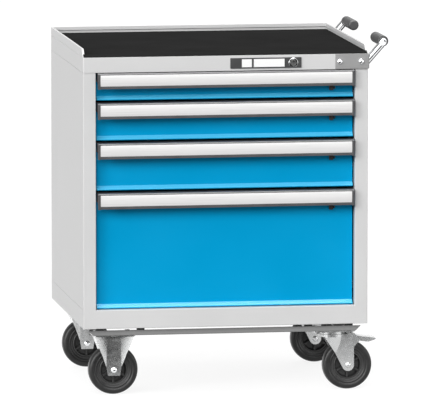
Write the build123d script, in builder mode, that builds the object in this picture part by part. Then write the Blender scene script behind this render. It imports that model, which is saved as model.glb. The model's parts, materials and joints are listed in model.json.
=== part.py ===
from build123d import *

import os

# A mobile drawer cabinet: four drawers in a sheet-steel body with a rimmed, rubber-covered top,
# a push handle on its right side, and a chassis with two fixed and two braked swivel casters.
# Millimetres, +Z up. The front faces -Y and the push handle is on +X.
# The origin is on the floor, in the middle of the whole trolley's footprint.

# ---- driving dimensions ----------------------------------------------------------------------
WIDTH = 717.0  # body, side to side
DEPTH = 600.0  # body, front frame to back skirt
SHEET = 1.5  # body sheet
BEND = 2.0  # outer radius of the body's folds
FRONT_SHEET = 1.2  # drawer fronts
DRAWER_HEIGHTS = (75.0, 100.0, 125.0, 296.5)  # front modules, top to bottom

WHEEL_RADIUS = 62.0
WHEEL_WIDTH = 37.0
CASTER_HEIGHT = 151.0  # floor to the top of the caster plates
RAIL_HEIGHT = 13.5  # chassis rail, above the caster plates
BODY_GAP = 6.5  # daylight between the chassis rails and the body
PLINTH_HEIGHT = 47.0
COVER_HEIGHT = 38.0
BORDER_HEIGHT = 20.0
MAT_THICKNESS = 5.0

STILE_WIDTH = 32.0
FRONT_RECESS = 22.0  # drawer fronts behind the front frame
COVER_PROUD = 1.5  # cover's fascia in front of the front frame

GRIP_REACH = 44.0  # grip axis beyond the body's side
GRIP_RADIUS = 13.5
GRIP_HEIGHT = 27.0  # grip axis above the cover

CASTER_X = 277.5  # caster plates, either side of the middle
CASTER_Y = 57.0  # front caster plates behind the front frame
TRAIL = 38.0  # swivel axis to wheel axle

# ---- levels above the floor ------------------------------------------------------------------
BODY_Z = CASTER_HEIGHT + RAIL_HEIGHT + BODY_GAP
OPENING_Z = BODY_Z + PLINTH_HEIGHT
COVER_Z = OPENING_Z + 594.0
TOP_Z = COVER_Z + COVER_HEIGHT
RIM_Z = TOP_Z + BORDER_HEIGHT
FIRST_DRAWER_TOP = COVER_Z + 2.0

# ---- places in the plan ----------------------------------------------------------------------
HALF = WIDTH / 2
HANDLE_DEPTH = 14.6  # drawer handles in front of the front frame
BRACKET_SHEET = 3.0
BOLT_HEAD = 5.0
CABINET_X = -(GRIP_REACH + GRIP_RADIUS) / 2
FRONT_Y = -(DEPTH + BRACKET_SHEET + BOLT_HEAD - HANDLE_DEPTH) / 2
OPENING_HALF = HALF - STILE_WIDTH


def level(height):
    """Horizontal plane; its origin is under the middle of the front frame."""
    return Plane(origin=(CABINET_X, FRONT_Y, height), x_dir=(1, 0, 0), z_dir=(0, 0, 1))


def upright(depth):
    """Plane facing forward at a depth behind the front frame; x is right and y is up."""
    return Plane(origin=(CABINET_X, FRONT_Y + depth, 0), x_dir=(1, 0, 0), z_dir=(0, -1, 0))


def across(side):
    """Plane facing right at a distance from the middle; x is back and y is up."""
    return Plane(origin=(CABINET_X + side, FRONT_Y, 0), x_dir=(0, 1, 0), z_dir=(1, 0, 0))


def polygon(plane, *corners):
    """Straight-sided outline on a plane."""
    with BuildSketch(plane) as outline:
        with BuildLine():
            Polyline(*corners, close=True)
        make_face()
    return outline.sketch


def disc(plane, centre, radius):
    """Circle on a plane."""
    with BuildSketch(plane) as outline:
        with Locations(centre):
            Circle(radius)
    return outline.sketch


def folded(plane, *skin, side=Side.LEFT, sheet=SHEET, bend=BEND):
    """Section of a folded sheet whose outer skin follows the given corners."""
    with BuildSketch(plane) as outline:
        with BuildLine():
            FilletPolyline(*skin, radius=bend)
            offset(amount=sheet, side=side)
        make_face()
    return outline.sketch


def block(low, high, mode=Mode.ADD):
    """Box between two corners: right of the middle, behind the front frame, above the floor."""
    (x0, y0, z0), (x1, y1, z1) = low, high
    outline = polygon(level(z0), (x0, y0), (x1, y0), (x1, y1), (x0, y1))
    extrude(outline, amount=z1 - z0, mode=mode)


def save(built, name):
    """Labels a finished piece and writes its STEP file."""
    built.part.label = name
    export_step(built.part, f"parts/{name}.step")


os.makedirs("parts", exist_ok=True)

# ---- body ------------------------------------------------------------------------------------
JAMB_DEPTH = 21.5
CORNER_RETURN = 4.0  # front frame's fold round the body's corners
REAR_FLANGE = 25.0
SEAM = 0.6  # gap left between two body sheets

with BuildPart() as front_frame:
    stile = folded(
        level(BODY_Z),
        (-HALF, CORNER_RETURN),
        (-HALF, 0),
        (-OPENING_HALF, 0),
        (-OPENING_HALF, JAMB_DEPTH),
    )
    extrude(stile, amount=COVER_Z - BODY_Z)
    mirror(about=across(0))
    bottom_rail = folded(
        across(-OPENING_HALF - SHEET),
        (CORNER_RETURN, BODY_Z),
        (0, BODY_Z),
        (0, OPENING_Z),
        (FRONT_RECESS - 2, OPENING_Z),
        side=Side.RIGHT,
    )
    extrude(bottom_rail, amount=2 * (OPENING_HALF + SHEET))
    block(
        (-HALF, CORNER_RETURN, BODY_Z),
        (HALF, JAMB_DEPTH, BODY_Z + SHEET),
        mode=Mode.SUBTRACT,
    )
save(front_frame, "front_frame")

with BuildPart() as side_panel_left:
    side_sheet = folded(
        level(OPENING_Z),
        (-HALF, CORNER_RETURN),
        (-HALF, DEPTH),
        (REAR_FLANGE - HALF, DEPTH),
        side=Side.RIGHT,
    )
    extrude(side_sheet, amount=COVER_Z - OPENING_Z - SEAM)
save(side_panel_left, "side_panel_left")

with BuildPart() as side_panel_right:
    mirror(side_panel_left.part, about=across(0))
save(side_panel_right, "side_panel_right")

BACK_INSET = 7.0
with BuildPart() as back_panel:
    block(
        (BACK_INSET - HALF, DEPTH - 2 * SHEET, OPENING_Z),
        (HALF - BACK_INSET, DEPTH - SHEET, COVER_Z),
    )
save(back_panel, "back_panel")

PLINTH_TOP = OPENING_Z - SEAM
with BuildPart() as plinth_tray:
    block((-HALF, CORNER_RETURN, BODY_Z), (HALF, DEPTH, PLINTH_TOP))
    fillet(plinth_tray.edges().filter_by(Axis.Z).group_by(Axis.Y)[-1], BEND)
    block(
        (SHEET - HALF, CORNER_RETURN, BODY_Z + SHEET),
        (HALF - SHEET, DEPTH - SHEET, PLINTH_TOP),
        mode=Mode.SUBTRACT,
    )
save(plinth_tray, "plinth_tray")

# ---- lock and handle positions on the fascia ----------------------------------------------------
FASCIA_Y = -COVER_PROUD
LOCK_X = 169.0
LOCK_Z = COVER_Z + 18.5
BARREL_RADIUS = 10.0
BRACKET_LEFT = 275.5
BOLT_XS = (286.5, 340.5)
BOLT_Z = COVER_Z + COVER_HEIGHT / 2
BOLT_RADIUS = 4.0
FIT = 0.05  # radial clearance of a turning fit
BOLT_HOLE = BOLT_RADIUS + 0.2
REAR_MIDDLE = (DEPTH + FASCIA_Y) / 2  # front and rear fittings mirror about this depth

with BuildPart() as top_cover:
    block((-HALF, FASCIA_Y, COVER_Z), (HALF, DEPTH, TOP_Z))
    fillet(top_cover.edges().filter_by(Axis.Z), 2 * SHEET)
    fillet(top_cover.edges().group_by(Axis.Z)[-1], SHEET)
    block(
        (SHEET - HALF, FASCIA_Y + SHEET, COVER_Z),
        (HALF - SHEET, DEPTH - SHEET, TOP_Z - SHEET),
        mode=Mode.SUBTRACT,
    )
    lock_hole = disc(upright(0), (LOCK_X, LOCK_Z), BARREL_RADIUS + FIT)
    extrude(lock_hole, amount=2 * SHEET, both=True, mode=Mode.SUBTRACT)
    for bolt_x in BOLT_XS:
        bolt_hole = disc(upright(0), (bolt_x, BOLT_Z), BOLT_HOLE)
        extrude(bolt_hole, amount=DEPTH + SHEET, both=True, mode=Mode.SUBTRACT)
save(top_cover, "top_cover")

# ---- rim and mat -----------------------------------------------------------------------------
HEM_WIDTH = 5.0
HEM_DROP = 8.0
RIM_SETBACK = 27.0  # rim's front ends slope back by this much


def rim_band(height, outer, inner):
    """U-shaped band along the left, back and right edges, between two insets."""
    return polygon(
        level(height),
        (outer - HALF, 0),
        (outer - HALF, DEPTH - outer),
        (HALF - outer, DEPTH - outer),
        (HALF - outer, 0),
        (HALF - inner, 0),
        (HALF - inner, DEPTH - inner),
        (inner - HALF, DEPTH - inner),
        (inner - HALF, 0),
    )


with BuildPart() as edge_border:
    extrude(rim_band(TOP_Z, 0, SHEET), amount=BORDER_HEIGHT)
    extrude(rim_band(RIM_Z - SHEET, 0, HEM_WIDTH), amount=SHEET)
    extrude(rim_band(RIM_Z - HEM_DROP, HEM_WIDTH - SHEET, HEM_WIDTH), amount=HEM_DROP)
    tall_edges = edge_border.edges().filter_by(Axis.Z)
    fillet(tall_edges.group_by(Axis.Y)[-1], 2 * SHEET)
    flange_low = TOP_Z + MAT_THICKNESS + 2.5
    flange_y = RIM_SETBACK * (flange_low - TOP_Z) / BORDER_HEIGHT
    for flange_side in (-HALF, HALF - HEM_WIDTH):
        end_flange = polygon(
            across(flange_side),
            (flange_y, flange_low),
            (RIM_SETBACK, RIM_Z),
            (RIM_SETBACK + 2 * SHEET, RIM_Z),
            (flange_y + 2 * SHEET, flange_low),
        )
        extrude(end_flange, amount=HEM_WIDTH)
    end_slope = polygon(across(-HALF), (0, TOP_Z), (RIM_SETBACK, RIM_Z), (0, RIM_Z))
    extrude(end_slope, amount=WIDTH, mode=Mode.SUBTRACT)
    outer_foot = edge_border.edges().group_by(Axis.Z)[0].filter_by(Axis.Y)
    chamfer(outer_foot.group_by(Axis.X)[0] + outer_foot.group_by(Axis.X)[-1], SEAM)
save(edge_border, "edge_border")

MAT_GAP = 0.5
with BuildPart() as rubber_mat:
    block(
        (SHEET + MAT_GAP - HALF, FASCIA_Y + MAT_GAP, TOP_Z),
        (HALF - SHEET - MAT_GAP, DEPTH - SHEET - MAT_GAP, TOP_Z + MAT_THICKNESS),
    )
    chamfer(rubber_mat.faces().sort_by(Axis.Z)[-1].edges(), 0.5)
save(rubber_mat, "rubber_mat")

# ---- lock ------------------------------------------------------------------------------------
PLATE_LEFT = 10.5
PLATE_RIGHT = 189.5
PLATE_LOW = COVER_Z + 5.5
PLATE_HIGH = PLATE_LOW + 26.0
PLATE_THICKNESS = 2.5
CARD_DEPTH = 1.0
CARD_LOW = PLATE_LOW + 3.0
CARD_HIGH = PLATE_HIGH - 3.0
CARD_SPANS = ((39.5, 64.5), (69.5, 147.0))
PLATE_FACE = FASCIA_Y - PLATE_THICKNESS


def card_outline(depth, span):
    """Outline of a label card's window."""
    left, right = span
    corners = ((left, CARD_LOW), (right, CARD_LOW), (right, CARD_HIGH), (left, CARD_HIGH))
    return polygon(upright(depth), *corners)


with BuildPart() as lock_plate:
    plate_outline = polygon(
        upright(FASCIA_Y),
        (PLATE_LEFT, PLATE_LOW),
        (PLATE_RIGHT, PLATE_LOW),
        (PLATE_RIGHT, PLATE_HIGH),
        (PLATE_LEFT, PLATE_HIGH),
    )
    extrude(plate_outline, amount=PLATE_THICKNESS)
    fillet(lock_plate.edges().filter_by(Axis.Y), 1.5)
    for card_span in CARD_SPANS:
        window = card_outline(PLATE_FACE, card_span)
        extrude(window, amount=-CARD_DEPTH, mode=Mode.SUBTRACT)
    barrel_hole = disc(upright(FASCIA_Y), (LOCK_X, LOCK_Z), BARREL_RADIUS + FIT)
    extrude(barrel_hole, amount=PLATE_THICKNESS, mode=Mode.SUBTRACT)
save(lock_plate, "lock_plate")

with BuildPart() as label_cards:
    for card_span in CARD_SPANS:
        card = card_outline(PLATE_FACE + CARD_DEPTH, card_span)
        extrude(card, amount=0.8 * CARD_DEPTH)
save(label_cards, "label_cards")

PLUG_RADIUS = 8.0
BEZEL_RADIUS = 11.8
BEZEL_PROUD = 2.5
BARREL_BACK = 3.0
with BuildPart() as lock_bezel:
    bezel = disc(upright(PLATE_FACE), (LOCK_X, LOCK_Z), BEZEL_RADIUS)
    extrude(bezel, amount=BEZEL_PROUD)
    fillet(lock_bezel.faces().sort_by(Axis.Y)[0].edges(), 1.0)
    barrel = disc(upright(BARREL_BACK), (LOCK_X, LOCK_Z), BARREL_RADIUS)
    extrude(barrel, amount=BARREL_BACK - PLATE_FACE)
    plug_bore = disc(upright(0), (LOCK_X, LOCK_Z), PLUG_RADIUS + FIT)
    extrude(plug_bore, amount=20, both=True, mode=Mode.SUBTRACT)
save(lock_bezel, "lock_bezel")

PLUG_FACE = PLATE_FACE - BEZEL_PROUD - 0.4
KEYWAY_WIDTH = 2.0
KEYWAY_HEIGHT = 9.0
KEYWAY_DEPTH = 6.0
CAM_FRONT = 6.5
CAM_THICKNESS = 2.0
CAM_REACH = 16.0  # cam's tip from the plug's axis, less than the room under the cover
CAM_HALF_WIDTH = 5.0
with BuildPart() as lock_cylinder:
    plug = disc(upright(CAM_FRONT), (LOCK_X, LOCK_Z), PLUG_RADIUS)
    extrude(plug, amount=CAM_FRONT - PLUG_FACE)
    chamfer(lock_cylinder.faces().sort_by(Axis.Y)[0].edges(), 0.4)
    with BuildSketch(upright(PLUG_FACE)) as keyway:
        with Locations((LOCK_X, LOCK_Z)):
            Rectangle(KEYWAY_WIDTH, KEYWAY_HEIGHT)
            Circle(KEYWAY_WIDTH)
    extrude(keyway.sketch, amount=-KEYWAY_DEPTH, mode=Mode.SUBTRACT)
    with BuildSketch(upright(CAM_FRONT + CAM_THICKNESS)) as cam:
        with Locations((LOCK_X, LOCK_Z)):
            Circle(PLUG_RADIUS)
        with Locations((LOCK_X + (CAM_REACH - CAM_HALF_WIDTH) / 2, LOCK_Z)):
            SlotOverall(CAM_REACH + CAM_HALF_WIDTH, 2 * CAM_HALF_WIDTH)
    extrude(cam.sketch, amount=CAM_THICKNESS)
save(lock_cylinder, "lock_cylinder")

# The locking bar hangs behind the fascia and the right stile, clear of the drawers' paths.
BAR_FRONT = 9.5
BAR_THICKNESS = 2.5
BAR_WIDTH = 12.0
BAR_LEFT = 150.0
BAR_STEM_X = 334.0
BAR_LOW = OPENING_Z + 22.0
BAR_HIGH = LOCK_Z + 1.5
TAB_BELOW_RUNNER = 5.0  # a tab's lower face below its runner's centre
TAB_SHEET = 3.0
TAB_REACH = 10.0

# ---- drawers: levels of each front module ------------------------------------------------------
drawer_tops = [FIRST_DRAWER_TOP - sum(DRAWER_HEIGHTS[:i]) for i in range(4)]
drawer_bottoms = [top - height for top, height in zip(drawer_tops, DRAWER_HEIGHTS)]
RUNNER_RISE = 36.0  # runner centre above the bottom of its module

with BuildPart() as locking_bar:
    bar_outline = polygon(
        upright(BAR_FRONT + BAR_THICKNESS),
        (BAR_LEFT, BAR_HIGH - BAR_WIDTH),
        (BAR_STEM_X, BAR_HIGH - BAR_WIDTH),
        (BAR_STEM_X, BAR_LOW),
        (BAR_STEM_X + BAR_WIDTH, BAR_LOW),
        (BAR_STEM_X + BAR_WIDTH, BAR_HIGH),
        (BAR_LEFT, BAR_HIGH),
    )
    extrude(bar_outline, amount=BAR_THICKNESS)
    bar_back = BAR_FRONT + BAR_THICKNESS
    for bottom in drawer_bottoms:
        tab_low = bottom + RUNNER_RISE - TAB_BELOW_RUNNER
        block(
            (BAR_STEM_X, bar_back, tab_low),
            (BAR_STEM_X + BAR_WIDTH, bar_back + TAB_REACH, tab_low + TAB_SHEET),
        )
save(locking_bar, "locking_bar")

# ---- push handle -----------------------------------------------------------------------------
BRACKET_LOW = COVER_Z + 0.5
BRACKET_HIGH = TOP_Z - 0.5
BRACKET_RETURN = 70.0
TUBE_RADIUS = 9.0
TUBE_WALL = 1.5
TUBE_BEND = 12.0
ARM_Y = 22.0
ARM_FOOT_DROP = 19.2  # arm's axis below the cover's top where it leaves the bracket
GRIP_X = HALF + GRIP_REACH
GRIP_Z = TOP_Z + GRIP_HEIGHT
GRIP_START = ARM_Y + TUBE_BEND
GRIP_END = GRIP_START + 110.0
BRACKET_X = HALF + BRACKET_SHEET

with BuildPart() as handle_brackets:
    bracket_section = folded(
        level(BRACKET_LOW),
        (BRACKET_LEFT, FASCIA_Y - BRACKET_SHEET),
        (BRACKET_X, FASCIA_Y - BRACKET_SHEET),
        (BRACKET_X, BRACKET_RETURN),
        sheet=BRACKET_SHEET,
        bend=BRACKET_SHEET + 1,
    )
    extrude(bracket_section, amount=BRACKET_HIGH - BRACKET_LOW)
    for bolt_x in BOLT_XS:
        bracket_hole = disc(upright(0), (bolt_x, BOLT_Z), BOLT_HOLE)
        extrude(bracket_hole, amount=3 * BRACKET_SHEET, both=True, mode=Mode.SUBTRACT)
    mirror(about=upright(REAR_MIDDLE))
save(handle_brackets, "handle_brackets")

foot = Vector(CABINET_X + BRACKET_X, FRONT_Y + ARM_Y, TOP_Z - ARM_FOOT_DROP)
elbow = Vector(CABINET_X + GRIP_X, FRONT_Y + ARM_Y, GRIP_Z)
tube_end = Vector(CABINET_X + GRIP_X, FRONT_Y + GRIP_END - 6, GRIP_Z)
arm_start = foot - (elbow - foot).normalized() * 2 * TUBE_RADIUS

with BuildPart() as handle_tubes:
    with BuildLine() as tube_path:
        FilletPolyline(arm_start, elbow, tube_end, radius=TUBE_BEND)
    with BuildSketch(Plane(origin=arm_start, z_dir=elbow - arm_start)) as tube_section:
        Circle(TUBE_RADIUS)
        Circle(TUBE_RADIUS - TUBE_WALL, mode=Mode.SUBTRACT)
    sweep(tube_section.sketch, path=tube_path.wires()[0])
    split(bisect_by=across(BRACKET_X), keep=Keep.TOP)
    mirror(about=upright(REAR_MIDDLE))
save(handle_tubes, "handle_tubes")

with BuildPart() as grips:
    extrude(disc(upright(GRIP_END), (GRIP_X, GRIP_Z), GRIP_RADIUS), amount=GRIP_END - GRIP_START)
    fillet(grips.faces().sort_by(Axis.Y)[-1].edges(), 5.0)
    fillet(grips.faces().sort_by(Axis.Y)[0].edges(), 1.0)
    grip_bore = disc(upright(GRIP_END - 5), (GRIP_X, GRIP_Z), TUBE_RADIUS + FIT)
    extrude(grip_bore, amount=GRIP_END - GRIP_START, mode=Mode.SUBTRACT)
    mirror(about=upright(REAR_MIDDLE))
save(grips, "grips")


def dome_head(x, depth, z, radius, height):
    """Domed bolt head on a face that looks forward."""
    with BuildSketch(across(x)) as half_section:
        with BuildLine():
            crown = (depth - height, z + 0.2 * radius)
            Polyline(crown, (depth - height, z), (depth, z), (depth, z + radius))
            shoulder = (depth - 0.72 * height, z + 0.72 * radius)
            ThreePointArc((depth, z + radius), shoulder, crown)
        make_face()
    bolt_axis = Axis(origin=(CABINET_X + x, FRONT_Y, z), direction=(0, 1, 0))
    revolve(half_section.sketch, axis=bolt_axis)


HEAD_SIZE = 7.0  # radius of a bracket bolt's head
NUT_RADIUS = 7.5
NUT_THICKNESS = 5.0
THREAD_SHOWN = 1.0  # thread beyond the nut
with BuildPart() as bracket_bolts:
    bracket_face = FASCIA_Y - BRACKET_SHEET
    nut_back = FASCIA_Y + SHEET + NUT_THICKNESS
    thread_end = nut_back + THREAD_SHOWN
    for bolt_x in BOLT_XS:
        dome_head(bolt_x, bracket_face, BOLT_Z, HEAD_SIZE, BOLT_HEAD)
        shank = disc(upright(thread_end), (bolt_x, BOLT_Z), BOLT_RADIUS)
        extrude(shank, amount=thread_end - bracket_face)
        with BuildSketch(upright(nut_back)) as nut:
            with Locations((bolt_x, BOLT_Z)):
                RegularPolygon(NUT_RADIUS, 6)
        extrude(nut.sketch, amount=NUT_THICKNESS)
    mirror(about=upright(REAR_MIDDLE))
save(bracket_bolts, "bracket_bolts")

# ---- casters: common sizes ---------------------------------------------------------------------
PLATE_LENGTH = 105.0
PLATE_DEPTH = 78.0
CASTER_PLATE = 3.0
LEG_INNER = 21.0  # fork leg's inner face from the wheel's middle
LEG_SHEET = 2.5
AXLE_RADIUS = 5.0
PLATE_Z = CASTER_HEIGHT - CASTER_PLATE
CASTER_YS = (CASTER_Y, DEPTH - CASTER_Y)
PLATE_BOLTS_X = 80.0
PLATE_BOLTS_Y = 44.0
plate_bolt_spots = [
    (along * PLATE_BOLTS_X / 2, deep * PLATE_BOLTS_Y / 2) for along in (-1, 1) for deep in (-1, 1)
]

# ---- chassis ---------------------------------------------------------------------------------
RAIL_SHEET = 2.5
RAIL_FRONT = 15.0
RAIL_BACK = 99.0
RAIL_TOP_HALF = 344.0
RAIL_BOTTOM_HALF = 331.0
RAIL_DROP = 9.0  # rear flange below the caster plates
SIDE_RAIL_WIDTH = 40.0
SIDE_RAIL_RISE = 6.0  # side rail's edge above the caster plates
RAIL_Z = CASTER_HEIGHT
RAIL_TOP_Z = RAIL_Z + RAIL_HEIGHT
BODY_MIDDLE = DEPTH / 2

with BuildPart() as chassis_rails:
    rail_section = folded(
        across(-RAIL_TOP_HALF),
        (RAIL_FRONT, RAIL_TOP_Z),
        (RAIL_FRONT, RAIL_Z),
        (RAIL_BACK, RAIL_Z),
        sheet=RAIL_SHEET,
        bend=RAIL_SHEET + 0.5,
    )
    extrude(rail_section, amount=2 * RAIL_TOP_HALF)
    block(
        (-RAIL_TOP_HALF, RAIL_BACK - RAIL_SHEET, RAIL_Z - RAIL_DROP),
        (RAIL_TOP_HALF, RAIL_BACK, RAIL_Z),
    )
    rail_end = polygon(
        upright(RAIL_BACK),
        (RAIL_TOP_HALF + 1, RAIL_TOP_Z + 1),
        (RAIL_BOTTOM_HALF, RAIL_Z),
        (RAIL_BOTTOM_HALF, RAIL_Z - RAIL_DROP),
        (RAIL_TOP_HALF + 1, RAIL_Z - RAIL_DROP),
    )
    extrude(rail_end, amount=RAIL_BACK, mode=Mode.SUBTRACT)
    mirrored_end = mirror(rail_end, about=across(0), mode=Mode.PRIVATE)
    extrude(mirrored_end, amount=RAIL_BACK, both=True, mode=Mode.SUBTRACT)
    mirror(about=upright(BODY_MIDDLE))
    side_rail = folded(
        upright(DEPTH - RAIL_BACK),
        (-RAIL_BOTTOM_HALF, RAIL_Z + SIDE_RAIL_RISE),
        (-RAIL_BOTTOM_HALF, RAIL_Z),
        (SIDE_RAIL_WIDTH - RAIL_BOTTOM_HALF, RAIL_Z),
        sheet=RAIL_SHEET,
        bend=RAIL_SHEET + 0.5,
    )
    extrude(side_rail, amount=DEPTH - 2 * RAIL_BACK)
    other_side_rail = mirror(side_rail, about=across(0), mode=Mode.PRIVATE)
    extrude(other_side_rail, amount=DEPTH - 2 * RAIL_BACK, dir=(0, -1, 0))
    for caster_x in (-CASTER_X, CASTER_X):
        for caster_y in CASTER_YS:
            for spot_x, spot_y in plate_bolt_spots:
                hole = disc(level(RAIL_Z - 1), (caster_x + spot_x, caster_y + spot_y), BOLT_HOLE)
                extrude(hole, amount=RAIL_SHEET + 2, mode=Mode.SUBTRACT)
save(chassis_rails, "chassis_rails")

PAD_XS = (-315.0, -212.0, 212.0, 315.0)
PAD_WIDTH = 19.0
PAD_FRONT = RAIL_FRONT + 3.0
PAD_DEPTH = 10.0
with BuildPart() as spacer_pads:
    for pad_x in PAD_XS:
        block(
            (pad_x - PAD_WIDTH / 2, PAD_FRONT, RAIL_Z + RAIL_SHEET),
            (pad_x + PAD_WIDTH / 2, PAD_FRONT + PAD_DEPTH, BODY_Z),
        )
    mirror(about=upright(BODY_MIDDLE))
save(spacer_pads, "spacer_pads")

# ---- casters ---------------------------------------------------------------------------------
def caster_plate(x, y):
    """Bolted top plate of a caster, centred at a place in the plan."""
    with BuildSketch(level(PLATE_Z)) as outline:
        with Locations((x, y)):
            RectangleRounded(PLATE_LENGTH, PLATE_DEPTH, 6)
            with Locations(*plate_bolt_spots):
                Circle(BOLT_HOLE, mode=Mode.SUBTRACT)
    extrude(outline.sketch, amount=CASTER_PLATE)


WEB_HALF = 20.5
WEB_FOOT_HALF = 15.2
WEB_TAPER_Z = 80.0
WEB_FOOT_Z = 48.0
GUSSET_WIDTH = 33.0
GUSSET_FOOT_Z = 72.0
GUSSET_LEAN = Vector(0.9, -0.44, 0).normalized()


def gusset(caster_y, x_sign, y_sign):
    """Triangular side wing of a fixed fork's leg, leaning out from the leg's edge."""
    lean = Vector(x_sign * GUSSET_LEAN.X, y_sign * GUSSET_LEAN.Y, 0)
    edge = Vector(
        CABINET_X - CASTER_X + x_sign * (WEB_HALF - LEG_SHEET),
        FRONT_Y + caster_y - y_sign * (LEG_INNER + LEG_SHEET / 2),
        0,
    )
    wing_plane = Plane(origin=edge, x_dir=lean, z_dir=lean.cross(Vector(0, 0, 1)))
    wing = polygon(
        wing_plane,
        (0, PLATE_Z),
        (GUSSET_WIDTH, PLATE_Z),
        (LEG_SHEET, GUSSET_FOOT_Z),
        (0, GUSSET_FOOT_Z),
    )
    extrude(wing, amount=LEG_SHEET / 2, both=True)


with BuildPart() as fixed_forks:
    for caster_y in CASTER_YS:
        caster_plate(-CASTER_X, caster_y)
        for y_sign in (-1, 1):
            outer_y = caster_y + y_sign * (LEG_INNER + LEG_SHEET / 2)
            web = polygon(
                upright(outer_y),
                (-CASTER_X - WEB_HALF, PLATE_Z),
                (-CASTER_X - WEB_HALF, WEB_TAPER_Z),
                (-CASTER_X - WEB_FOOT_HALF, WEB_FOOT_Z),
                (-CASTER_X + WEB_FOOT_HALF, WEB_FOOT_Z),
                (-CASTER_X + WEB_HALF, WEB_TAPER_Z),
                (-CASTER_X + WEB_HALF, PLATE_Z),
            )
            extrude(web, amount=LEG_SHEET / 2, both=True)
            for x_sign in (-1, 1):
                gusset(caster_y, x_sign, -y_sign)
        bore = disc(upright(caster_y), (-CASTER_X, WHEEL_RADIUS), AXLE_RADIUS + FIT)
        extrude(bore, amount=2 * LEG_INNER, both=True, mode=Mode.SUBTRACT)
save(fixed_forks, "fixed_forks")

HEAD_RADIUS = 32.0  # ball race of a swivel caster
RACE_LOW = 141.0
CROWN_TOP = 140.5
CROWN_LOW = 134.0
PIN_RADIUS = 6.0
PIN_HEAD_RADIUS = 11.0
PIN_HEAD = 4.0
RUNNING_GAP = 0.5  # end play of the king pin
with BuildPart() as swivel_plates:
    for caster_y in CASTER_YS:
        centre = (CASTER_X, caster_y)
        caster_plate(*centre)
        extrude(disc(level(RACE_LOW), centre, HEAD_RADIUS), amount=PLATE_Z - RACE_LOW)
        pin_low = CROWN_LOW - RUNNING_GAP
        extrude(disc(level(pin_low), centre, PIN_RADIUS), amount=RACE_LOW - pin_low)
        extrude(disc(level(pin_low - PIN_HEAD), centre, PIN_HEAD_RADIUS), amount=PIN_HEAD)
save(swivel_plates, "swivel_plates")

CASTER_BOLT_HEAD = 4.0
CASTER_NUT_RADIUS = 6.5
with BuildPart() as caster_bolts:
    shank_low = PLATE_Z - NUT_THICKNESS - THREAD_SHOWN
    head_low = RAIL_Z + RAIL_SHEET
    for caster_x in (-CASTER_X, CASTER_X):
        for caster_y in CASTER_YS:
            for spot_x, spot_y in plate_bolt_spots:
                spot = (caster_x + spot_x, caster_y + spot_y)
                extrude(disc(level(head_low), spot, CASTER_NUT_RADIUS), amount=CASTER_BOLT_HEAD)
                extrude(disc(level(shank_low), spot, BOLT_RADIUS), amount=head_low - shank_low)
                with BuildSketch(level(PLATE_Z - NUT_THICKNESS)) as plate_nut:
                    with Locations(spot):
                        RegularPolygon(CASTER_NUT_RADIUS, 6)
                extrude(plate_nut.sketch, amount=NUT_THICKNESS)
save(caster_bolts, "caster_bolts")


AXLE_NUT_RADIUS = 8.5
AXLE_HEAD_RADIUS = 7.5
AXLE_THREAD_SHOWN = 2.0


def axle_bolt(x, caster_y):
    """Axle bolt through a fork: domed head in front, nut behind."""
    leg_face = LEG_INNER + LEG_SHEET
    spot = (x, WHEEL_RADIUS)
    nut_end = caster_y + leg_face + NUT_THICKNESS
    with BuildSketch(upright(nut_end)) as axle_nut:
        with Locations(spot):
            RegularPolygon(AXLE_NUT_RADIUS, 6)
    extrude(axle_nut.sketch, amount=NUT_THICKNESS)
    axle_end = nut_end + AXLE_THREAD_SHOWN
    extrude(disc(upright(axle_end), spot, AXLE_RADIUS), amount=axle_end - caster_y + leg_face)
    dome_head(x, caster_y - leg_face, WHEEL_RADIUS, AXLE_HEAD_RADIUS, BOLT_HEAD)


with BuildPart() as fixed_axles:
    for caster_y in CASTER_YS:
        axle_bolt(-CASTER_X, caster_y)
save(fixed_axles, "fixed_axles")

# ---- swivel forks and brakes ---------------------------------------------------------------------
# Outlines below are (right of the swivel axis, above the floor).
LEG_FOOT_RADIUS = 15.0
LEG_OUTLINE = (
    (-26, CROWN_TOP),
    (5, 93),
    (24.66, 55.1),
    (53, WHEEL_RADIUS),
    (53, 108),
    (66, 121),
    (66, CROWN_LOW),
    (54, CROWN_TOP),
)
PEDAL_HALF = 20.4
PEDAL_SHEET = 2.0
PEDAL_OUTLINE = (
    (46, 137.5),
    (100, 130.5),
    (110, 127.5),
    (106, 124.5),
    (90, 119.5),
    (66, 122.5),
    (50, 123.5),
    (46, 130),
)
PEDAL_HOLLOW = ((40, 134.5), (99, 128), (104, 125.9), (100, 110), (40, 110))
PEDAL_PIVOT = (58.0, 127.0)
PIVOT_RADIUS = 3.0
PIVOT_PROUD = 1.5
SHOE_HALF = 12.0
SHOE_OUTLINE = ((53, 125.2), (64, 125.2), (66, 135), (50, 136))
SKIRT_FOOT_RADIUS = 24.0
SKIRT_FOOT_Z = 96.0


def beside_swivel(depth, corners):
    """Outline on an upright plane, from corners measured from the swivel axis."""
    return polygon(upright(depth), *[(CASTER_X + x, z) for x, z in corners])


def fork_leg_outline(depth):
    """Side outline of a swivel fork's leg, with its rounded foot round the axle."""
    with BuildSketch(upright(depth)) as outline:
        with BuildLine():
            Polyline(*[(CASTER_X + x, z) for x, z in LEG_OUTLINE], close=True)
        make_face()
        with Locations((CASTER_X + TRAIL, WHEEL_RADIUS)):
            Circle(LEG_FOOT_RADIUS)
    return outline.sketch


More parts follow.
